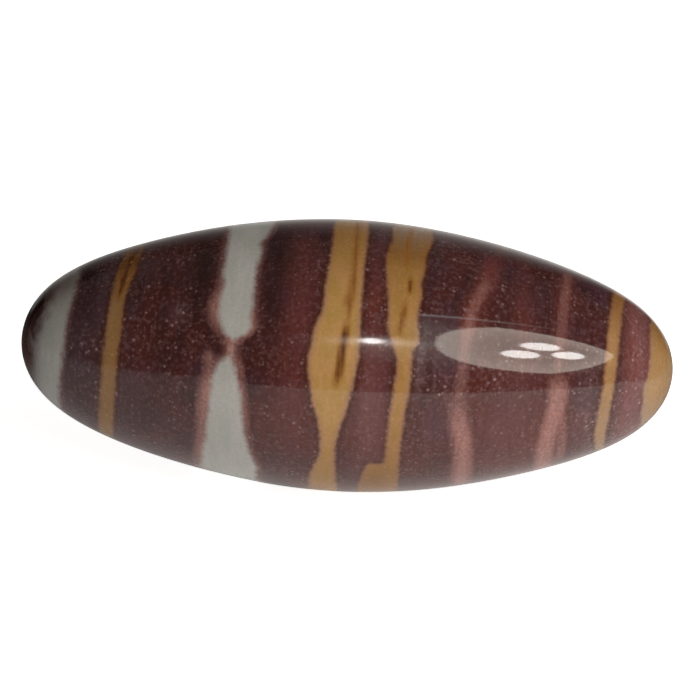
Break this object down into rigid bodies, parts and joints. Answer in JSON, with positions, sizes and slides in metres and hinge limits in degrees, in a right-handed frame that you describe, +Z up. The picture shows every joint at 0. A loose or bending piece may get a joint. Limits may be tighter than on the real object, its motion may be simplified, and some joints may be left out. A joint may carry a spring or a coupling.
{
  "type": "shiva lingam stone",
  "caption": "Long egg-shaped river stone with a high polish, banded in maroon, ochre and pale grey-green, lying on its side as an altar or desk stone.",
  "frame": {"origin": "under the middle of the stone, on the surface that it rests on", "axes": "+X from tip to tip, towards the ochre tip, +Z up, and -Y towards the side that the picture shows"},
  "size_m": [0.1, 0.0436, 0.0413],
  "materials": {
    "banded_stone": "polished"
  },
  "bodies": {
    "root": {"lingam_stone": "banded_stone"}
  },
  "joints": []
}
